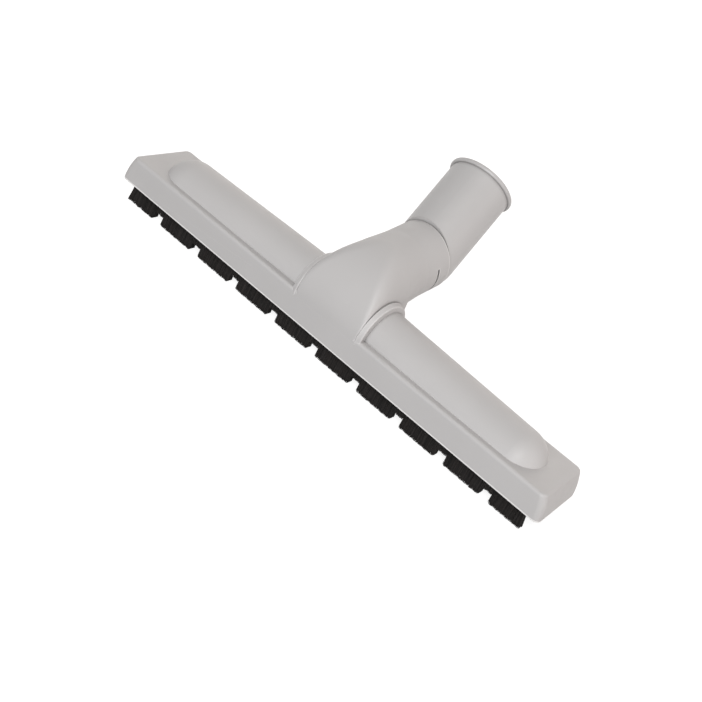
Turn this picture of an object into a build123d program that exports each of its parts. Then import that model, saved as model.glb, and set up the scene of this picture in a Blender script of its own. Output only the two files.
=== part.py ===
from build123d import *

import math
import os

# Floor brush head for a vacuum cleaner wand: a moulded housing with two air channels, a hood that bends
# back into a round neck, a swivel elbow with the wand socket, and two bristle strips below.
# Millimetres. X runs along the head, Y from the front edge to the wand, Z up from the bristle tips.
# The pieces are modelled with y = 0 at the middle of the head's depth and moved to the origin last.

# Tray: the long low part of the housing
head_length = 301.7
head_depth = 40.7
rear_extra = 1.4
tray_height = 15.1
wall = 2.0
end_bulge_radius = 36.0
end_slant = 4.4
front_lean = 0.65
corner_radius = 3.6
top_edge_radius = 1.8
rim_edge_radius = 0.5

# Air channel domes on both sides of the hood: their axis sinks towards a ball-shaped nose
dome_inner_height = 13.6
dome_inner_radius = 15.4
dome_nose_inset = 32.85
dome_nose_height = 9.5
dome_nose_radius = 16.3

# Collar ribs that arch over the housing between the hood and the domes
collar_inner_x = 21.3
collar_outer_x = 24.4
collar_radius = 19.2
collar_taper = 1.0
collar_step = 0.7
collar_axis_y = -1.0
collar_axis_height = 14.5
collar_edge_radius = 0.5
arch_lap = 8.0

# Hood and neck: the bend from the tray up and back to the swivel
neck_radius = 19.05
neck_rise = 9.0
neck_length = 34.2
neck_root_radius = 20.1
neck_taper_length = 16.0
neck_lap = 2.0
bend_inner_radius = 0.25
bend_height = 12.5
hood_half_width = 21.2
hood_corner_radius = 1.8
hood_corner_growth = 4.0
hood_flank_share = 0.75
hood_rear_radius = 3.0
hood_proud = 0.02
hood_bend_steps = 3
round_flat_angle = 8.0
bore_shoulder = 0.4
bore_end_gap = 0.4

# Saddle: the upright block that carries the neck behind the collars
saddle_front_y = -5.0
saddle_rear_y = 20.7
saddle_top_height = 32.5
saddle_top_half_width = 19.7
saddle_edge_radius = 1.2

# Swivel elbow
elbow_bend = 31.0
elbow_rest_swivel = -13.6
elbow_root_radius = 18.5
elbow_mouth_radius = 18.75
elbow_reach = 53.6
elbow_vertex = 2.2
flange_radius = 20.15
flange_thickness = 2.6
flange_edge_radius = 1.05
socket_radius = 16.0
socket_depth = 35.0
socket_lead = 0.8
spigot_wall = 2.0
spigot_length = 22.0
swivel_clearance = 0.1
seam_gap = 0.35
seam_foot_radius = 17.6
seam_edge_slope = 6.0

# Retaining clip that holds the elbow in the neck
clip_setback = 9.4
clip_thickness = 1.2
clip_slot_width = 1.5
clip_groove_width = 1.8
clip_groove_depth = 1.1
clip_slot_half_angle = 109.5
clip_half_angle = 105.0
clip_recess = 0.9
clip_groove_gap = 0.25

# Bristle strips
bristle_reach = 10.5
strip_end_inset = 8.25
block_pitch = 30.0
notch_width = 6.2
notch_depth = 5.0
channel_width = 4.6
channel_height = 5.0
channel_sheet = 0.5
channel_lip = 0.45
channel_wall_gap = 0.4
bristle_tip_width = 4.6
core_wire_radius = 0.55
core_wire_drop = 1.3

# Base plate that closes the underside
plate_recess = 0.8
plate_thickness = 3.0
plate_end_gap = 0.4
plate_rail = 1.6
plate_lip = 0.8
plate_lip_height = 0.8
plate_strip_gap = 0.2
mouth_half_width = 9.4
mouth_centre_half = 62.0
mouth_bridge = 16.0
mouth_end_inset = 22.85
mouth_corner = 3.0

# Ribs that hold the strips down, screws and their bosses
rib_width = 1.8
rib_margin = 2.0
screw_end_inset = 11.85
boss_radius = 3.6
pilot_radius = 1.3
pilot_depth = 9.0
screw_hole_radius = 1.7
screw_shank_radius = 1.25
screw_head_radius = 3.0
screw_head_height = 1.8
screw_head_edge = 0.6
screw_head_gap = 0.2
screw_length = 10.0
screw_drive_radius = 1.4
screw_drive_half_width = 0.45
screw_drive_depth = 1.0

# Values that follow from the driving sizes
edge_z = bristle_reach
half_length = head_length / 2
half_depth = head_depth / 2
rear_wall_y = half_depth + rear_extra
dome_nose_x = half_length - dome_nose_inset
strip_length = head_length - 2 * strip_end_inset
notch_count = int(strip_length / block_pitch)
mouth_side_start = mouth_centre_half + mouth_bridge
mouth_side_end = half_length - mouth_end_inset
screw_x = (mouth_centre_half + mouth_bridge / 2, half_length - screw_end_inset)
over = 1.0
hood_centre = bend_inner_radius + neck_root_radius
hood_front_y = front_lean * bend_height / tray_height - half_depth - hood_proud
bend_radius = hood_centre + neck_root_radius
bend_y = hood_front_y + bend_radius
bend_z = edge_z + bend_height
rise = math.radians(neck_rise)
neck_axis = Vector(0, math.cos(rise), math.sin(rise))
neck_up = Vector(0, -math.sin(rise), math.cos(rise))
neck_start = Vector(0, bend_y, bend_z) + neck_up * hood_centre
rim_centre = neck_start + neck_axis * neck_length
neck_bore_radius = neck_radius - wall
spigot_radius = neck_bore_radius - swivel_clearance
spigot_bore_radius = spigot_radius - spigot_wall
groove_radius = spigot_radius - clip_groove_depth
clip_inner_radius = groove_radius + clip_groove_gap
clip_outer_radius = neck_radius - clip_recess
plate_bottom = edge_z + plate_recess
plate_top = plate_bottom + plate_thickness
channel_bottom = plate_bottom + plate_lip_height
channel_top = channel_bottom + channel_height
strip_outer = half_depth - wall - channel_wall_gap
strip_inner = strip_outer - channel_width
strip_middle = (strip_outer + strip_inner) / 2
bend_angle = math.radians(elbow_bend)
swivel = math.radians(elbow_rest_swivel)
bend_side = neck_up * math.cos(swivel) + Vector(1, 0, 0) * math.sin(swivel)
wand_axis = neck_axis * math.cos(bend_angle) + bend_side * math.sin(bend_angle)
elbow_centre = rim_centre + neck_axis * elbow_vertex
tube_plane = Plane(origin=elbow_centre, z_dir=wand_axis)


def cylinder_along(start, direction, radius, length):
    """A round bar that starts at a point and runs along a direction."""
    return extrude(Plane(origin=start, z_dir=direction) * Circle(radius), amount=length)


def block(x_range, y_range, z_range):
    """A plain block between two values on each axis."""
    size = [high - low for low, high in (x_range, y_range, z_range)]
    middle = [(high + low) / 2 for low, high in (x_range, y_range, z_range)]
    return Pos(*middle) * Box(*size)


def above(solid, z):
    """The part of a solid that lies above a height."""
    return split(solid, bisect_by=Plane.XY.offset(z), keep=Keep.TOP)


def tray_outline(reach, inset, height):
    """The tray's front view: a low box whose ends bulge outwards, moved inwards by an inset."""
    radius = end_bulge_radius - inset
    centre_x = reach - end_bulge_radius
    low_x = centre_x + radius
    top_x = centre_x + math.sqrt(radius**2 - height**2)
    middle_angle = math.asin(height / radius) / 2
    middle_x = centre_x + radius * math.cos(middle_angle)
    middle_z = radius * math.sin(middle_angle)
    right = ThreePointArc((low_x, 0), (middle_x, middle_z), (top_x, height))
    left = ThreePointArc((-top_x, height), (-middle_x, middle_z), (-low_x, 0))
    top = Line((top_x, height), (-top_x, height))
    bottom = Line((-low_x, 0), (low_x, 0))
    return make_face([right, top, left, bottom])


def tray_solid(inset, height):
    """The tray with slanted ends, a leaning front wall and an upright rear wall."""
    rear_reach = half_length - (half_depth + rear_wall_y) * math.tan(math.radians(end_slant))
    front = Plane.XZ.offset(half_depth) * tray_outline(half_length, inset, height)
    rear = Plane.XZ.offset(-rear_wall_y) * tray_outline(rear_reach, inset, height)
    ends = loft([front, rear], ruled=True)
    front_y = inset - half_depth
    rear_y = rear_wall_y - inset
    lean = front_lean * height / tray_height
    section = Polyline((front_y, 0), (rear_y, 0), (rear_y, height), (front_y + lean, height), close=True)
    sides = extrude(Plane.YZ * make_face(section.edges()), amount=half_length, both=True)
    return Pos(0, 0, edge_z) * (ends & sides)


def dome_share(x):
    """How far along a dome a place lies, from the collar to the middle of the nose."""
    return (x - collar_outer_x) / (dome_nose_x - collar_outer_x)


def dome_radius_at(x):
    return dome_inner_radius + (dome_nose_radius - dome_inner_radius) * dome_share(x)


def dome_height_at(x):
    return dome_inner_height + (dome_nose_height - dome_inner_height) * dome_share(x)


def dome_solid(side, inset):
    """One air channel dome: a slender cone on a sinking axis with a ball nose, moved inwards by an inset."""
    start_x = collar_inner_x - arch_lap
    start = Vector(start_x, 0, edge_z + dome_height_at(start_x))
    nose = Vector(dome_nose_x, 0, edge_z + dome_nose_height)
    run = (nose - start).length
    start_radius = dome_radius_at(start_x) - inset
    nose_radius = dome_nose_radius - inset
    outline = Polyline((run, nose_radius), (0, start_radius), (0, 0), (run + nose_radius, 0))
    ball = CenterArc((run, 0), nose_radius, 0, 90)
    plane = Plane(origin=start, x_dir=nose - start, z_dir=(0, -1, 0))
    dome = revolve(plane * make_face([*outline.edges(), ball]), axis=Axis(start, nose - start))
    if side < 0:
        dome = mirror(dome, about=Plane.YZ)
    return above(dome, edge_z + wall)


def collar_solid(side):
    """One arched collar rib with softened edges, and the lower arch that carries it under the hood."""
    start = collar_inner_x - arch_lap
    inner = collar_inner_x
    outer = collar_outer_x
    arch_radius = collar_radius - collar_step
    profile = make_face(Polyline((start, 0), (start, arch_radius), (inner, arch_radius), (inner, collar_radius),
                                 (outer, collar_radius - collar_taper), (outer, 0), close=True).edges())
    top_corner = profile.vertices().sort_by(Axis.Y)[-1]
    outer_corner = profile.vertices().sort_by(Axis.X)[-2:].sort_by(Axis.Y)[-1]
    profile = fillet([top_corner, outer_corner], collar_edge_radius)
    rib = Pos(0, collar_axis_y, edge_z + collar_axis_height) * revolve(Plane.XZ * profile, axis=Axis.X)
    if side < 0:
        rib = mirror(rib, about=Plane.YZ)
    return above(rib, edge_z + wall)


def hood_plane(angle):
    """The plane of a hood section: it turns about the line at the tray's rear top edge."""
    turn = math.radians(angle)
    return Plane(origin=(0, bend_y, bend_z), x_dir=(1, 0, 0), z_dir=(0, math.sin(turn), math.cos(turn)))


def soft_section(half_width, half_height, front_flat, flank, shoulder, rear_radius):
    """A section with rounded flanks to a flat front and round rear corners, in eight edges from the right on."""
    flank_u, flank_v = flank
    rear_v = half_height - rear_radius
    rear_u = half_width - rear_radius
    right = Line((half_width, shoulder), (half_width, rear_v))
    right_rear = CenterArc((rear_u, rear_v), rear_radius, 0, 90)
    rear = Line((rear_u, half_height), (-rear_u, half_height))
    left_rear = CenterArc((-rear_u, rear_v), rear_radius, 90, 90)
    left = Line((-half_width, rear_v), (-half_width, shoulder))
    left_front = Spline((-half_width, shoulder), (-flank_u, flank_v), (-front_flat, -half_height),
                        tangents=((0, -1), (1, 0)))
    front = Line((-front_flat, -half_height), (front_flat, -half_height))
    right_front = Spline((front_flat, -half_height), (flank_u, flank_v), (half_width, shoulder),
                         tangents=((1, 0), (0, 1)))
    return make_face([right, right_rear, rear, left_rear, left, left_front, front, right_front])


def round_section(radius):
    """A circle in eight arcs that match the edges of a soft section."""
    edges = []
    for corner in range(4):
        turn = corner * 90
        edges.append(CenterArc((0, 0), radius, turn - round_flat_angle, 2 * round_flat_angle))
        edges.append(CenterArc((0, 0), radius, turn + round_flat_angle, 90 - 2 * round_flat_angle))
    return make_face(edges)


def hood_section(share, inset):
    """A hood section at a share of the bend: the neck's round flanks, cut off by the hood's rounded front."""
    if share == 1:
        return round_section(neck_root_radius - inset)
    lean = math.radians((90 - neck_rise) * (1 - share))
    half_width = hood_half_width + (neck_root_radius - hood_half_width) * share**2 - inset
    half_height = neck_root_radius - inset
    setback = hood_corner_radius + hood_corner_growth * share - inset / 2
    shoulder = hood_centre - hood_centre / math.cos(lean)
    if shoulder + half_height > hood_corner_radius:
        top_rise = (bend_radius - inset) * math.cos(lean) - hood_centre
        rise = hood_flank_share * top_rise
        flank = (math.sqrt(half_width**2 - rise**2), shoulder - rise / math.cos(lean))
        front_flat = math.sqrt(half_width**2 - top_rise**2) - setback
    else:
        shoulder = setback - half_height
        slack = setback * (1 - math.sqrt(0.5))
        flank = (half_width - slack, slack - half_height)
        front_flat = half_width - setback
    return soft_section(half_width, half_height, front_flat, flank, shoulder, hood_rear_radius - inset / 2)


def hood_solid(inset):
    """The bend of the hood from the tray's opening to the round neck, moved inwards by an inset."""
    sections = []
    for step in range(hood_bend_steps + 1):
        share = step / hood_bend_steps
        face = hood_section(share, inset)
        sections.append(hood_plane((90 - neck_rise) * share) * Pos(0, -hood_centre) * face)
    return loft(sections)


def neck_solid():
    """The outside of the neck: a lap inside the hood, a short taper and a straight run to the rim."""
    outline = Polyline((0, -neck_lap), (neck_root_radius - neck_lap, -neck_lap), (neck_root_radius, 0),
                       (neck_radius, neck_taper_length), (neck_radius, neck_length), (0, neck_length), close=True)
    neck = revolve(Plane.XZ * make_face(outline.edges()), axis=Axis.Z)
    return Plane(origin=neck_start, x_dir=(1, 0, 0), z_dir=neck_axis) * neck


def saddle_solid(inset):
    """The upright block behind the collars that carries the neck, moved inwards by an inset."""
    low = hood_half_width - inset
    high = saddle_top_half_width - inset
    outline = Polyline((-low, wall), (low, wall), (high, saddle_top_height), (-high, saddle_top_height), close=True)
    depth = saddle_rear_y - inset - saddle_front_y
    saddle = extrude(Plane.XZ.offset(inset - saddle_rear_y) * make_face(outline.edges()), amount=depth)
    rear = saddle.faces().sort_by(Axis.Y)[-1]
    uprights = rear.edges().filter_by(lambda edge: edge.bounding_box().size.Z > saddle_top_height / 2)
    return Pos(0, 0, edge_z) * fillet(uprights, saddle_edge_radius)


def neck_plane(setback):
    """A plane across the neck, a distance back from the rim; its local +Y points down."""
    return Plane(origin=rim_centre - neck_axis * setback, x_dir=(1, 0, 0), z_dir=neck_axis)


def lower_ring(inner, outer, half_angle):
    """A flat ring around the underside of the neck, in the neck's own plane."""
    start = 90 - half_angle
    outer_arc = CenterArc((0, 0), outer, start, 2 * half_angle)
    inner_arc = CenterArc((0, 0), inner, start, 2 * half_angle)
    ends = [Line(outer_arc @ 0, inner_arc @ 0), Line(outer_arc @ 1, inner_arc @ 1)]
    return make_face([outer_arc, inner_arc, *ends])


def collar_cavity(side):
    """The hollow under a collar rib, which keeps the wall even."""
    radius = collar_radius - collar_taper - wall
    start = collar_inner_x - arch_lap
    plane = Plane(origin=(start, collar_axis_y, edge_z + collar_axis_height), z_dir=(1, 0, 0))
    hollow = extrude(plane * Circle(radius), amount=collar_outer_x - wall - start)
    if side < 0:
        hollow = mirror(hollow, about=Plane.YZ)
    return above(hollow, edge_z + wall)


def boss_height(x):
    """How high a screw boss reaches, into the middle of the wall above it."""
    if x < dome_nose_x:
        return edge_z + dome_height_at(x) + dome_radius_at(x) - wall / 2
    return edge_z + tray_height - wall / 2


def housing_shell():
    """The moulded outside with the inside taken out, before ribs and bosses."""
    outer = tray_solid(0, tray_height)
    uprights = outer.edges().filter_by(lambda edge: edge.bounding_box().size.Z > tray_height / 2)
    outer = fillet(uprights, corner_radius)
    outer = fillet(outer.faces().sort_by(Axis.Z)[-1].edges(), top_edge_radius)
    outer = fillet(outer.faces().sort_by(Axis.Z)[0].edges(), rim_edge_radius)
    inner = tray_solid(wall, tray_height - wall)
    inner = inner + extrude(inner.faces().sort_by(Axis.Z)[0], amount=over)
    for side in (1, -1):
        outer = outer + dome_solid(side, 0)
        inner = inner + dome_solid(side, wall) + collar_cavity(side)
    for side in (1, -1):
        outer = outer + collar_solid(side)
    outer = outer + saddle_solid(0) + (hood_solid(0) + neck_solid())
    passage_foot = neck_start - neck_axis * wall
    passage_radius = neck_bore_radius - bore_shoulder
    passage = cylinder_along(passage_foot, neck_axis, passage_radius, neck_length)
    bore_depth = spigot_length + bore_end_gap
    bore = cylinder_along(rim_centre - neck_axis * bore_depth, neck_axis, neck_bore_radius, bore_depth + over)
    inner = inner + saddle_solid(wall) + hood_solid(wall)
    return outer - inner - (passage + bore)


def make_housing():
    housing = housing_shell()
    slot = lower_ring(neck_bore_radius - over, neck_radius + over, clip_slot_half_angle)
    housing = housing - extrude(neck_plane(clip_setback) * slot, amount=clip_slot_width / 2, both=True)
    rib_low = collar_outer_x + rib_margin
    rib_high = strip_length / 2 - rib_margin
    for x_sign in (1, -1):
        x_range = sorted((x_sign * rib_low, x_sign * rib_high))
        for y_sign in (1, -1):
            y_range = (y_sign * strip_middle - rib_width / 2, y_sign * strip_middle + rib_width / 2)
            housing = housing + block(x_range, y_range, (channel_top, edge_z + tray_height - wall / 2))
        for x in screw_x:
            foot = (x_sign * x, 0, plate_top)
            boss = cylinder_along(foot, (0, 0, 1), boss_radius, boss_height(x) - plate_top)
            housing = housing + boss - cylinder_along(foot, (0, 0, 1), pilot_radius, pilot_depth)
    return housing


def make_base_plate():
    rear_slant = head_depth * math.tan(math.radians(end_slant))
    end_x = half_length - rear_slant - end_bulge_radius - plate_end_gap
    end_x = end_x + math.sqrt((end_bulge_radius - wall) ** 2 - (plate_top - edge_z) ** 2)
    end_y = half_depth - wall - front_lean * (plate_top - edge_z) / tray_height - plate_end_gap
    rail_y = strip_inner - plate_strip_gap
    strip_x = strip_length / 2 + plate_end_gap
    outline = Rectangle(2 * end_x, 2 * end_y)
    for y_sign in (1, -1):
        slot_depth = end_y - rail_y + over
        outline = outline - Pos(0, y_sign * (rail_y + slot_depth / 2)) * Rectangle(2 * strip_x, slot_depth)
    outline = outline - RectangleRounded(2 * mouth_centre_half, 2 * mouth_half_width, mouth_corner)
    side_length = mouth_side_end - mouth_side_start
    for x_sign in (1, -1):
        centre = x_sign * (mouth_side_start + side_length / 2)
        outline = outline - Pos(centre, 0) * RectangleRounded(side_length, 2 * mouth_half_width, mouth_corner)
    plate = Pos(0, 0, plate_bottom) * extrude(outline, amount=plate_thickness)
    x_range = (-strip_length / 2, strip_length / 2)
    for y_sign in (1, -1):
        rail_range = sorted((y_sign * rail_y, y_sign * (rail_y - plate_rail)))
        plate = plate + block(x_range, rail_range, (plate_bottom, channel_top))
        lip_range = sorted((y_sign * (rail_y - plate_rail), y_sign * (rail_y + plate_lip)))
        plate = plate + block(x_range, lip_range, (plate_bottom, channel_bottom))
    for x in (*screw_x, *(-x for x in screw_x)):
        foot = (x, 0, plate_bottom)
        plate = plate - cylinder_along(foot, (0, 0, 1), screw_hole_radius, plate_thickness)
        plate = plate - cylinder_along(foot, (0, 0, 1), screw_head_radius + screw_head_gap, screw_head_height)
    return plate


def make_screws():
    """The four base screws: pan heads with a cross recess and plain shanks."""
    seat = plate_bottom + screw_head_height
    arm = screw_drive_radius
    bar = screw_drive_half_width
    screws = []
    for x in (*screw_x, *(-x for x in screw_x)):
        head = cylinder_along((x, 0, plate_bottom), (0, 0, 1), screw_head_radius, screw_head_height)
        head = fillet(head.edges().sort_by(Axis.Z)[0], screw_head_edge)
        shank = cylinder_along((x, 0, seat), (0, 0, 1), screw_shank_radius, screw_length)
        recess_z = (plate_bottom - over, plate_bottom + screw_drive_depth)
        cross = block((x - arm, x + arm), (-bar, bar), recess_z) + block((x - bar, x + bar), (-arm, arm), recess_z)
        screws.append(head + shank - cross)
    return Compound(children=screws)


def strip_profile(points, y_sign):
    """A closed outline across a strip, from points measured from the channel's lower middle."""
    moved = [(y_sign * strip_middle + y, channel_bottom + z) for y, z in points]
    return Plane.YZ * make_face(Polyline(*moved, close=True).edges())


def make_strip_channel(y_sign):
    half = channel_width / 2
    inside = half - channel_sheet
    lip = inside - channel_lip
    right = [(lip, channel_sheet), (lip, 0), (half, 0), (half, channel_height)]
    left = [(-y, z) for y, z in reversed(right)]
    top = channel_height - channel_sheet
    hollow = [(-inside, channel_sheet), (-inside, top), (inside, top), (inside, channel_sheet)]
    return extrude(strip_profile(right + left + hollow, y_sign), amount=strip_length / 2, both=True)


def core_wire_start(y_sign):
    return Vector(-strip_length / 2, y_sign * strip_middle, channel_top - channel_sheet - core_wire_drop)


def make_bristles(y_sign):
    inside = channel_width / 2 - channel_sheet
    lip = inside - channel_lip
    right = [(bristle_tip_width / 2, -channel_bottom), (lip, 0), (lip, channel_sheet), (inside, channel_sheet),
             (inside, channel_height - channel_sheet)]
    left = [(-y, z) for y, z in reversed(right)]
    bristles = extrude(strip_profile(right + left, y_sign), amount=strip_length / 2, both=True)
    first_notch = -block_pitch * (notch_count - 1) / 2
    for notch in range(notch_count):
        x = first_notch + notch * block_pitch
        x_range = (x - notch_width / 2, x + notch_width / 2)
        bristles = bristles - block(x_range, (-half_depth, half_depth), (-over, notch_depth))
    return bristles - cylinder_along(core_wire_start(y_sign), (1, 0, 0), core_wire_radius, strip_length)


def make_core_wire(y_sign):
    return cylinder_along(core_wire_start(y_sign), (1, 0, 0), core_wire_radius, strip_length)


def tube_profile():
    """The elbow tube's outside, from the bend to the flange, as a half section."""
    flange_low = elbow_reach - flange_thickness
    outline = make_face(Polyline((0, 0), (elbow_root_radius, 0), (elbow_mouth_radius, flange_low),
                                 (flange_radius, flange_low), (flange_radius, elbow_reach), (0, elbow_reach),
                                 close=True).edges())
    return fillet(outline.vertices().sort_by(Axis.X)[-2:], flange_edge_radius)


def make_elbow():
    seam = Plane(origin=rim_centre + neck_axis * seam_gap, x_dir=(1, 0, 0), z_dir=neck_axis)
    outside = tube_plane * revolve(Plane.XZ * tube_profile(), axis=Axis.Z)
    outside = outside + Pos(*elbow_centre) * Sphere(elbow_root_radius)
    edge_height = 2 * elbow_reach
    edge_cone = Cone(seam_foot_radius, seam_foot_radius + seam_edge_slope * edge_height, edge_height)
    outside = outside & (seam * Pos(0, 0, elbow_reach) * edge_cone)
    spigot_foot = rim_centre - neck_axis * spigot_length
    spigot_run = spigot_length + elbow_vertex
    elbow = outside + cylinder_along(spigot_foot, neck_axis, spigot_radius, spigot_run)
    groove = Circle(spigot_radius + over) - Circle(groove_radius)
    elbow = elbow - extrude(neck_plane(clip_setback) * groove, amount=clip_groove_width / 2, both=True)
    elbow = elbow - cylinder_along(spigot_foot - neck_axis, neck_axis, spigot_bore_radius, spigot_run + over)
    elbow = elbow - Pos(*elbow_centre) * Sphere(spigot_bore_radius)
    socket_floor = elbow_reach - socket_depth
    elbow = elbow - cylinder_along(elbow_centre, wand_axis, spigot_bore_radius, elbow_reach)
    elbow = elbow - cylinder_along(elbow_centre + wand_axis * socket_floor, wand_axis, socket_radius, elbow_reach)
    lead = Pos(0, 0, elbow_reach - socket_lead / 2) * Cone(socket_radius, socket_radius + socket_lead, socket_lead)
    return elbow - tube_plane * lead


def make_clip():
    ring = lower_ring(clip_inner_radius, clip_outer_radius, clip_half_angle)
    return extrude(neck_plane(clip_setback) * ring, amount=clip_thickness / 2, both=True)


def make_pieces():
    """Every piece by name, in the part's own frame: origin under the middle of the whole box."""
    pieces = {
        "housing": make_housing(),
        "base_plate": make_base_plate(),
        "base_screws": make_screws(),
        "retaining_clip": make_clip(),
        "swivel_elbow": make_elbow(),
    }
    for name, y_sign in (("front", -1), ("rear", 1)):
        pieces[name + "_strip_channel"] = make_strip_channel(y_sign)
        pieces[name + "_core_wire"] = make_core_wire(y_sign)
        pieces[name + "_bristles"] = make_bristles(y_sign)
    boxes = [solid.bounding_box() for solid in pieces.values()]
    middle_y = (min(box.min.Y for box in boxes) + max(box.max.Y for box in boxes)) / 2
    return {name: Pos(0, -middle_y, 0) * solid for name, solid in pieces.items()}


def main():
    os.makedirs("parts", exist_ok=True)
    for name, solid in make_pieces().items():
        export_step(solid, os.path.join("parts", name + ".step"))


if __name__ == "__main__":
    main()
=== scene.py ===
import math
import random

import bpy
from mathutils import Matrix, Vector


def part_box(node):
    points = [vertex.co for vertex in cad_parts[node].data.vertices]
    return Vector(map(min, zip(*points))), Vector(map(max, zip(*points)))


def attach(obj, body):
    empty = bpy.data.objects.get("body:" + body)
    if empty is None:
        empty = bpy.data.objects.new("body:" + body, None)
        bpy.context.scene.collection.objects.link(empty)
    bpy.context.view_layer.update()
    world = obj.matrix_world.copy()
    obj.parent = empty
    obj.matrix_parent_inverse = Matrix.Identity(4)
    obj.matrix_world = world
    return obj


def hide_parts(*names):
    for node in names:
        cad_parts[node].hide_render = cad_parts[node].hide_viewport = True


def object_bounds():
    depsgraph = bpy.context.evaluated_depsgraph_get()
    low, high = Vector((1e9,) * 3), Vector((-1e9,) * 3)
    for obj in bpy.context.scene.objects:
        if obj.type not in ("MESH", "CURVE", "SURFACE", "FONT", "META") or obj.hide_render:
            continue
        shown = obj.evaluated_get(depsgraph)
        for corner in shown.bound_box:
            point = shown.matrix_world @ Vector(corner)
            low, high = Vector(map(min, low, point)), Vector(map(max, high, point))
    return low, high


# Looks of the floor brush head: satin moulded plastic, plated steel and black bristles made of single
# filaments, on a white floor in soft studio light. Metres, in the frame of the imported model.

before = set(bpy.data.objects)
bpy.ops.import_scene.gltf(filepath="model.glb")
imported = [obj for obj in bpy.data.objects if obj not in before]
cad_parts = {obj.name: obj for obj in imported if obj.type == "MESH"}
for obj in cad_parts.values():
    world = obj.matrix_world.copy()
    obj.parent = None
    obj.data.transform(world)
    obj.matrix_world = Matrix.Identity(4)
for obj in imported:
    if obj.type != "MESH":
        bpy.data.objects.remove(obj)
cad_low, cad_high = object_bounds()

# Camera: the place and directions from which the photograph was taken
image_pixels = 702
focal_pixels = 1535.2
sensor_width = 36.0
camera_place = Vector((0.31380, -0.66139, 0.41570))
camera_back = Vector((0.37653, -0.77188, 0.51227))
camera_up = Vector((-0.59386, 0.22330, 0.77296))

# Filaments: lanes that fan out below the channel
filament_radius = 0.00019
filament_pitch = 0.00034
filament_lanes = 13
filament_sides = 3
filament_tip_share = 0.75
root_height = 0.0126
root_half_width = 0.0012
tip_half_width = 0.0021

# Uneven tips: waves along the strip with rates in radians per metre, scatter, and a sway in tufts that
# becomes a flare at the strip's ends
tip_wave = 0.00042
short_wave_rate = 1450
long_wave_rate = 410
tip_scatter = 0.00012
tip_sway = 0.00008
tuft_length = 0.0026
tuft_share = 0.5
tuft_drift = 3
tuft_drift_rate = 91
bend_share = 0.3
end_flare = 0.0013
flare_reach = 0.006

# Notches in the strips, and the soft corners of the blocks between them
notch_pitch = 0.030
notch_count = 9
notch_half_width = 0.0031
notch_height = 0.0050
corner_reach = 0.0013
corner_rise = 0.0008

# Noise: the range that holds most of a noise texture's values
noise_range = (0.3, 0.7)

# Bristle finish: a tone for each filament between a dark and a light one, in fine upright streaks
streak_scale = (1900, 300, 30)
streak_detail = 2
streak_share = (0.35, 1.0)
bristle_dark = (0.005, 0.0044, 0.0042)
bristle_light = (0.032, 0.0265, 0.0245)
bristle_roughness = (0.52, 0.72)
bristle_sheen = 0.22

# Plastic surface: drift of tone, rubbed patches, flow waves and moulding grain, by noise scales per metre
tone_scale = 22
tone_detail = 2
rub_scale = 160
rub_detail = 4
rub_span = 0.05
flow_scale = 90
flow_detail = 1
flow_height = 0.0004
flow_strength = 0.05
grain_scale = 3200
grain_detail = 3
grain_height = 0.00005
grain_strength = 0.22

# Plastic marks: painted shade in seams and inner corners, a paler tone on the housing's edges that is partly
# wear and partly painted highlight, a painted highlight along its lower rim, and a duller tone on edges that
# are handled
crevice_reach = 0.0022
crevice_samples = 8
# Painted shade: how far seams and inner corners are darkened, and the dark tone they move towards
painted_shade_depth = 0.75
painted_shade_tone = (0.150, 0.143, 0.138)
edge_mask_width = 0.0013
edge_mask_samples = 6
edge_mask_turn = (0.995, 0.92)
edge_mask_openness = (0.6, 0.95)
# Housing edge tone: paler, partly wear and partly painted highlight
worn_and_highlit_edge_tone = (0.70, 0.69, 0.685)
handled_edge_tone = (0.375, 0.362, 0.354)
# Painted highlight along the housing's lower rim: where the band ends and fades out above the rim, and its
# tone
rim_highlight_height = 0.0008
rim_highlight_fade = 0.0011
painted_rim_highlight_tone = (0.80, 0.79, 0.785)

# Metal: drawing lines along the head
line_scale = (60, 2600, 2600)
line_detail = 3
line_rub_span = 0.08
line_height = 0.00002
line_strength = 0.3

# Light: soft lamps in front, above, behind and at both sides, and the pale room around
lamp_distance = 3.0
floor_size = 8.0
floor_bounce = (0.34, 0.33, 0.325, 1.0)
floor_pale = (0.28, 0.28, 0.28, 1.0)
floor_glow = 0.88
room_colour = (1.0, 0.94, 0.91, 1.0)
room_strength = 0.31
white = (1.0, 1.0, 1.0, 1.0)


def add_object(name, data):
    """A new object in the scene."""
    thing = bpy.data.objects.new(name, data)
    bpy.context.scene.collection.objects.link(thing)
    return thing


def new_material(name):
    """A node material with its nodes, links and main shader."""
    material = bpy.data.materials.new(name)
    material.use_nodes = True
    tree = material.node_tree
    return material, tree.nodes, tree.links, tree.nodes["Principled BSDF"]


def noise(nodes, links, vector, scale, detail):
    """A noise texture on a coordinate output."""
    texture = nodes.new("ShaderNodeTexNoise")
    texture.inputs["Scale"].default_value = scale
    texture.inputs["Detail"].default_value = detail
    links.new(vector, texture.inputs["Vector"])
    return texture.outputs["Fac"]


def stretched(nodes, links, value, source, target):
    """A value carried from one range to another, and held at the ends."""
    span = nodes.new("ShaderNodeMapRange")
    span.inputs["From Min"].default_value = source[0]
    span.inputs["From Max"].default_value = source[1]
    span.inputs["To Min"].default_value = target[0]
    span.inputs["To Max"].default_value = target[1]
    links.new(value, span.inputs["Value"])
    return span.outputs["Result"]


def spread(nodes, links, value, low, high):
    """Noise around one half, stretched to run from a low to a high value."""
    return stretched(nodes, links, value, noise_range, (low, high))


def combined(nodes, links, operation, first, second):
    """Two values put together by a maths node, such as their product or the larger one."""
    node = nodes.new("ShaderNodeMath")
    node.operation = operation
    links.new(first, node.inputs[0])
    links.new(second, node.inputs[1])
    return node.outputs["Value"]


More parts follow.
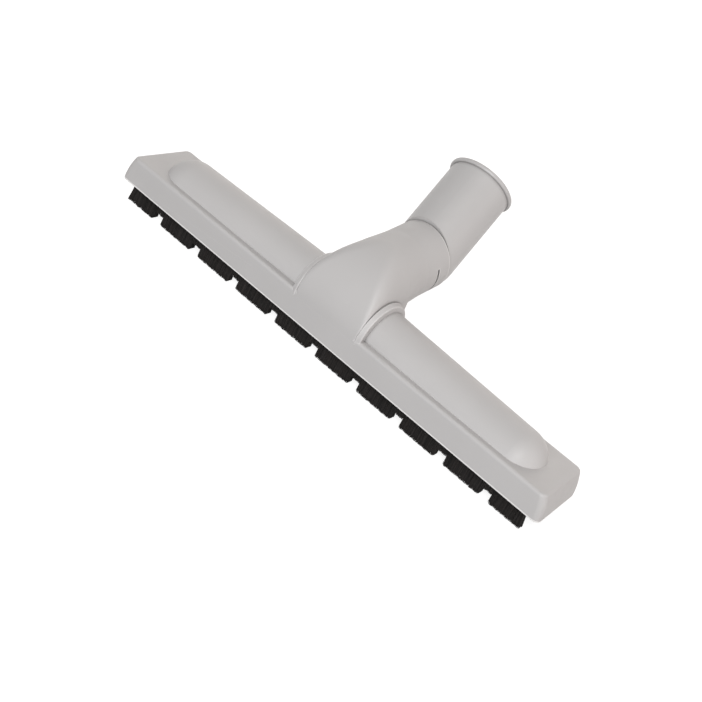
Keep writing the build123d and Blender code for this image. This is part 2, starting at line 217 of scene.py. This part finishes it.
def two_tones(nodes, links, factor, first, second):
    """A colour that moves between two tones."""
    mix = nodes.new("ShaderNodeMix")
    mix.data_type = "RGBA"
    mix.inputs["A"].default_value = (*first, 1.0)
    mix.inputs["B"].default_value = (*second, 1.0)
    links.new(factor, mix.inputs["Factor"])
    return mix.outputs["Result"]


def blended(nodes, links, factor, colour, second):
    """A colour from other nodes that moves towards a tone."""
    mix = nodes.new("ShaderNodeMix")
    mix.data_type = "RGBA"
    mix.inputs["B"].default_value = (*second, 1.0)
    links.new(colour, mix.inputs["A"])
    links.new(factor, mix.inputs["Factor"])
    return mix.outputs["Result"]


def bump(nodes, links, height, distance, strength, under=None):
    """A bump from a height, laid over another bump where one is given."""
    node = nodes.new("ShaderNodeBump")
    node.inputs["Distance"].default_value = distance
    node.inputs["Strength"].default_value = strength
    links.new(height, node.inputs["Height"])
    if under is not None:
        links.new(under, node.inputs["Normal"])
    return node.outputs["Normal"]


def scaled_place(nodes, links, scale):
    """The object's own coordinates, stretched by a scale on each axis."""
    place = nodes.new("ShaderNodeTexCoord")
    stretch = nodes.new("ShaderNodeMapping")
    stretch.inputs["Scale"].default_value = scale
    links.new(place.outputs["Object"], stretch.inputs["Vector"])
    return stretch.outputs["Vector"]


def surface_openness(nodes):
    """How open the surface is: 1 in the open, less in seams, slits and inner corners."""
    occlusion = nodes.new("ShaderNodeAmbientOcclusion")
    occlusion.samples = crevice_samples
    occlusion.inputs["Distance"].default_value = crevice_reach
    return occlusion.outputs["AO"]


def outer_edges(nodes, links, openness):
    """1 along sharp outer edges, and 0 elsewhere."""
    rounded = nodes.new("ShaderNodeBevel")
    rounded.samples = edge_mask_samples
    rounded.inputs["Radius"].default_value = edge_mask_width
    plain = nodes.new("ShaderNodeNewGeometry").outputs["Normal"]
    agreement = nodes.new("ShaderNodeVectorMath")
    agreement.operation = "DOT_PRODUCT"
    links.new(rounded.outputs["Normal"], agreement.inputs[0])
    links.new(plain, agreement.inputs[1])
    turn = stretched(nodes, links, agreement.outputs["Value"], edge_mask_turn, (0, 1))
    outer = stretched(nodes, links, openness, edge_mask_openness, (0, 1))
    return combined(nodes, links, "MULTIPLY", turn, outer)


def rim_highlight_band(nodes, links, place, height):
    """1 along the lower rim at a height, where a highlight is painted, and 0 a little above it."""
    axes = nodes.new("ShaderNodeSeparateXYZ")
    links.new(place, axes.inputs["Vector"])
    fade = (height + rim_highlight_height, height + rim_highlight_fade)
    return stretched(nodes, links, axes.outputs["Z"], fade, (1, 0))


def moulded_plastic(name, shade, light, roughness, sheen, painted_shade_range, edge_tone, rim=None):
    """Satin moulded plastic: painted shade fades out over a range of openness, and a highlight is painted
    along a rim at a height.
    """
    material, nodes, links, shader = new_material(name)
    place = scaled_place(nodes, links, (1, 1, 1))
    drift = spread(nodes, links, noise(nodes, links, place, tone_scale, tone_detail), 0, 1)
    tone = two_tones(nodes, links, drift, shade, light)
    openness = surface_openness(nodes)
    # Paler or duller sharp edges; on the housing partly wear and partly painted highlight
    tone = blended(nodes, links, outer_edges(nodes, links, openness), tone, edge_tone)
    # Painted highlight along the lower rim
    if rim is not None:
        tone = blended(nodes, links, rim_highlight_band(nodes, links, place, rim), tone, painted_rim_highlight_tone)
    # Painted shade in seams, slits and inner corners, where the surface is less open
    painted_shade = stretched(nodes, links, openness, painted_shade_range, (painted_shade_depth, 0))
    links.new(blended(nodes, links, painted_shade, tone, painted_shade_tone), shader.inputs["Base Color"])
    patches = noise(nodes, links, place, rub_scale, rub_detail)
    rub = spread(nodes, links, patches, roughness - rub_span, roughness + rub_span)
    links.new(rub, shader.inputs["Roughness"])
    flow = bump(nodes, links, noise(nodes, links, place, flow_scale, flow_detail), flow_height, flow_strength)
    specks = noise(nodes, links, place, grain_scale, grain_detail)
    grain = bump(nodes, links, specks, grain_height, grain_strength, flow)
    links.new(grain, shader.inputs["Normal"])
    shader.inputs["Specular IOR Level"].default_value = sheen
    return material


def brushed_metal(name, shade, light, roughness):
    """Plated sheet or wire with fine drawing lines along the head."""
    material, nodes, links, shader = new_material(name)
    lines = noise(nodes, links, scaled_place(nodes, links, line_scale), 1, line_detail)
    tone = two_tones(nodes, links, spread(nodes, links, lines, 0, 1), shade, light)
    links.new(tone, shader.inputs["Base Color"])
    rub = spread(nodes, links, lines, roughness - line_rub_span, roughness + line_rub_span)
    links.new(rub, shader.inputs["Roughness"])
    links.new(bump(nodes, links, lines, line_height, line_strength), shader.inputs["Normal"])
    shader.inputs["Metallic"].default_value = 1.0
    return material


def bristle_fibre(name):
    """Black bristles: each filament has its own tone, in fine upright streaks."""
    material, nodes, links, shader = new_material(name)
    single = nodes.new("ShaderNodeNewGeometry").outputs["Random Per Island"]
    streaks = noise(nodes, links, scaled_place(nodes, links, streak_scale), 1, streak_detail)
    blend = combined(nodes, links, "MULTIPLY", single, spread(nodes, links, streaks, *streak_share))
    links.new(two_tones(nodes, links, blend, bristle_dark, bristle_light), shader.inputs["Base Color"])
    links.new(spread(nodes, links, streaks, *bristle_roughness), shader.inputs["Roughness"])
    shader.inputs["Specular IOR Level"].default_value = bristle_sheen
    return material


def tip_height(x, rng):
    """How high above the floor a filament ends: uneven tips, soft block corners and short ones in a notch."""
    first_notch = -notch_pitch * (notch_count - 1) / 2
    nearest = min(range(notch_count), key=lambda notch: abs(x - first_notch - notch * notch_pitch))
    beyond_notch = abs(x - first_notch - nearest * notch_pitch) - notch_half_width
    waves = (1 + math.sin(x * short_wave_rate) * math.sin(x * long_wave_rate)) / 2
    uneven = tip_wave * waves + tip_scatter * rng.random()
    if beyond_notch < 0:
        return notch_height + uneven
    corner = max(0.0, 1 - beyond_notch / corner_reach)
    return uneven + corner_rise * corner**2


def flare(x, reach):
    """How far a tip near an end of the strip leans outwards."""
    near_end = max(0.0, 1 - (reach - abs(x)) / flare_reach)
    return math.copysign(end_flare * near_end**2, x)


def filament_ring(centre, radius, turn):
    """The corners of one cross-section of a filament."""
    corners = []
    for side in range(filament_sides):
        angle = turn + 2 * math.pi * side / filament_sides
        corners.append((centre.x + radius * math.cos(angle), centre.y + radius * math.sin(angle), centre.z))
    return corners


def filament_faces(start):
    """The faces of a filament of three rings: its sides, and a cap at the tip."""
    faces = []
    for ring in (0, filament_sides):
        for side in range(filament_sides):
            beside = (side + 1) % filament_sides
            lower = start + ring
            upper = lower + filament_sides
            faces.append((lower + side, upper + side, upper + beside, lower + beside))
    faces.append(tuple(start + 2 * filament_sides + side for side in range(filament_sides)))
    return faces


def filament_line(x, across, middle_y, reach, rng):
    """The root, the bend and the tip of one filament."""
    tuft = math.sin(2 * math.pi * x / tuft_length + tuft_drift * math.sin(x * tuft_drift_rate))
    sway = tip_sway * (tuft_share * tuft + rng.uniform(-1, 1)) + flare(x, reach)
    root = Vector((x, middle_y + root_half_width * across, root_height))
    tip_y = middle_y + tip_half_width * across + tip_sway * rng.uniform(-0.5, 0.5)
    tip = Vector((x + sway, tip_y, tip_height(x, rng)))
    bend = root.lerp(tip, 0.5) + Vector((-sway * bend_share, 0, 0))
    return root, bend, tip


def strip_mesh(name, low, high, rng):
    """The filaments of a strip as one mesh, along the box of a CAD bristle block."""
    middle_y = (low.y + high.y) / 2
    reach = (high.x - low.x) / 2 - filament_radius
    count = int(2 * reach / filament_pitch)
    vertices = []
    faces = []
    for lane in range(filament_lanes):
        across = 2 * lane / (filament_lanes - 1) - 1
        for step in range(count):
            x = -reach + (step + rng.random()) * filament_pitch
            root, bend, tip = filament_line(x, across, middle_y, reach, rng)
            turn = rng.uniform(0, math.pi)
            faces.extend(filament_faces(len(vertices)))
            for centre, share in ((root, 1.0), (bend, 1.0), (tip, filament_tip_share)):
                vertices.extend(filament_ring(centre, filament_radius * share, turn))
    mesh = bpy.data.meshes.new(name)
    mesh.from_pydata(vertices, [], faces)
    mesh.shade_smooth()
    mesh.update()
    return mesh


def bristle_strip(node, name, seed):
    """One strip of single filaments in place of a CAD bristle block."""
    low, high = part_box(node)
    strip = add_object(name, strip_mesh(name, low, high, random.Random(seed)))
    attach(strip, "head")
    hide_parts(node)
    return strip


def dress(names, material):
    """Gives CAD nodes a material in all their slots."""
    for name in names:
        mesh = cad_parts[name].data
        mesh.materials.clear()
        mesh.materials.append(material)


def seen_directly(nodes, links):
    """1 for rays from the camera, mirrors and glass, and 0 for the light that falls on things."""
    path = nodes.new("ShaderNodeLightPath")
    rays = combined(nodes, links, "MAXIMUM", path.outputs["Is Camera Ray"], path.outputs["Is Glossy Ray"])
    return combined(nodes, links, "MAXIMUM", rays, path.outputs["Is Transmission Ray"])


def split_by_ray(nodes, links, lighting, shown, surface):
    """Shows one shader to direct rays, and uses another for the light that falls on things."""
    choice = nodes.new("ShaderNodeMixShader")
    links.new(seen_directly(nodes, links), choice.inputs["Fac"])
    links.new(lighting, choice.inputs[1])
    links.new(shown, choice.inputs[2])
    links.new(choice.outputs["Shader"], surface)


def white_floor():
    """A white floor that keeps a faint shadow of the brush."""
    half = floor_size / 2
    corners = [(-half, -half, 0), (half, -half, 0), (half, half, 0), (-half, half, 0)]
    mesh = bpy.data.meshes.new("floor")
    mesh.from_pydata(corners, [], [(0, 1, 2, 3)])
    floor = add_object("floor", mesh)
    material, nodes, links, shader = new_material("floor_white")
    nodes.remove(shader)
    matt = nodes.new("ShaderNodeBsdfDiffuse")
    matt.inputs["Color"].default_value = floor_bounce
    glow = nodes.new("ShaderNodeEmission")
    glow.inputs["Strength"].default_value = floor_glow
    pale = nodes.new("ShaderNodeBsdfDiffuse")
    pale.inputs["Color"].default_value = floor_pale
    shown = nodes.new("ShaderNodeAddShader")
    links.new(glow.outputs["Emission"], shown.inputs[0])
    links.new(pale.outputs["BSDF"], shown.inputs[1])
    surface = nodes["Material Output"].inputs["Surface"]
    split_by_ray(nodes, links, matt.outputs["BSDF"], shown.outputs["Shader"], surface)
    mesh.materials.append(material)


def pale_room():
    """White to the camera and to reflections, and a soft warm fill to everything else."""
    world = bpy.data.worlds.new("room")
    bpy.context.scene.world = world
    world.use_nodes = True
    nodes = world.node_tree.nodes
    links = world.node_tree.links
    fill = nodes["Background"]
    fill.inputs["Color"].default_value = room_colour
    fill.inputs["Strength"].default_value = room_strength
    shown = nodes.new("ShaderNodeBackground")
    shown.inputs["Color"].default_value = white
    shown.inputs["Strength"].default_value = 1.0
    surface = nodes["World Output"].inputs["Surface"]
    split_by_ray(nodes, links, fill.outputs["Background"], shown.outputs["Background"], surface)


def soft_lamp(name, direction, size, level, colour, shines):
    """A square lamp that faces the brush, gives a stated light level there and may show in reflections."""
    aim = (cad_low + cad_high) / 2
    towards = Vector(direction).normalized()
    data = bpy.data.lights.new(name, "AREA")
    data.size = size
    data.color = colour
    data.energy = level * (math.pi * lamp_distance) ** 2
    lamp = add_object(name, data)
    lamp.visible_glossy = shines
    facing = towards.to_track_quat("Z", "Y").to_matrix().to_4x4()
    lamp.matrix_world = Matrix.Translation(aim + towards * lamp_distance) @ facing


def photo_camera():
    """The camera at the photograph's place, with its directions made square to each other."""
    right = camera_up.cross(camera_back).normalized()
    back = camera_back.normalized()
    up = back.cross(right)
    data = bpy.data.cameras.new("camera")
    data.sensor_width = sensor_width
    data.lens = focal_pixels / image_pixels * sensor_width
    camera = add_object("camera", data)
    turn = Matrix((right, up, back)).transposed().to_4x4()
    camera.matrix_world = Matrix.Translation(camera_place) @ turn
    bpy.context.scene.camera = camera


housing_plastic = moulded_plastic(
    "housing_plastic",
    shade=(0.470, 0.461, 0.460),
    light=(0.490, 0.480, 0.479),
    roughness=0.48,
    sheen=0.46,
    painted_shade_range=(0.25, 0.85),
    edge_tone=worn_and_highlit_edge_tone,
    rim=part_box("housing")[0].z,
)
elbow_plastic = moulded_plastic(
    "elbow_plastic",
    shade=(0.438, 0.429, 0.428),
    light=(0.458, 0.449, 0.448),
    roughness=0.38,
    sheen=0.80,
    painted_shade_range=(0.45, 1.00),
    edge_tone=handled_edge_tone,
)
base_plastic = moulded_plastic(
    "base_plastic",
    shade=(0.400, 0.391, 0.382),
    light=(0.430, 0.420, 0.410),
    roughness=0.52,
    sheen=0.35,
    painted_shade_range=(0.20, 0.80),
    edge_tone=handled_edge_tone,
)
plated_steel = brushed_metal("plated_steel", (0.50, 0.50, 0.49), (0.60, 0.60, 0.58), roughness=0.34)
spring_steel = brushed_metal("spring_steel", (0.020, 0.020, 0.020), (0.045, 0.045, 0.044), roughness=0.50)
black_bristle = bristle_fibre("black_bristle")

dress(["housing"], housing_plastic)
dress(["swivel_elbow"], elbow_plastic)
dress(["base_plate"], base_plastic)
dress(["base_screws", "front_strip_channel", "rear_strip_channel"], plated_steel)
dress(["front_core_wire", "rear_core_wire"], plated_steel)
dress(["retaining_clip"], spring_steel)
for strip_seed, strip_node in enumerate(("front_bristles", "rear_bristles")):
    filaments = bristle_strip(strip_node, strip_node + "_filaments", strip_seed)
    filaments.data.materials.append(black_bristle)

white_floor()
pale_room()
soft_lamp("front_lamp", (0.20, -0.97, 0.12), size=1.6, level=0.53, colour=(0.935, 0.967, 1.0), shines=True)
soft_lamp("high_lamp", (0.34, -0.66, 0.66), size=1.0, level=0.47, colour=(1.0, 0.995, 0.975), shines=True)
soft_lamp("rear_lamp", (-0.35, 0.85, 0.39), size=2.2, level=0.52, colour=(1.0, 0.94, 0.88), shines=False)
soft_lamp("right_lamp", (0.97, 0.20, 0.22), size=1.8, level=0.33, colour=(1.0, 0.91, 0.87), shines=False)
soft_lamp("left_lamp", (-0.75, 0.66, 0.06), size=1.8, level=0.22, colour=(1.0, 0.97, 0.94), shines=False)
photo_camera()
bpy.context.scene.view_settings.view_transform = "Standard"
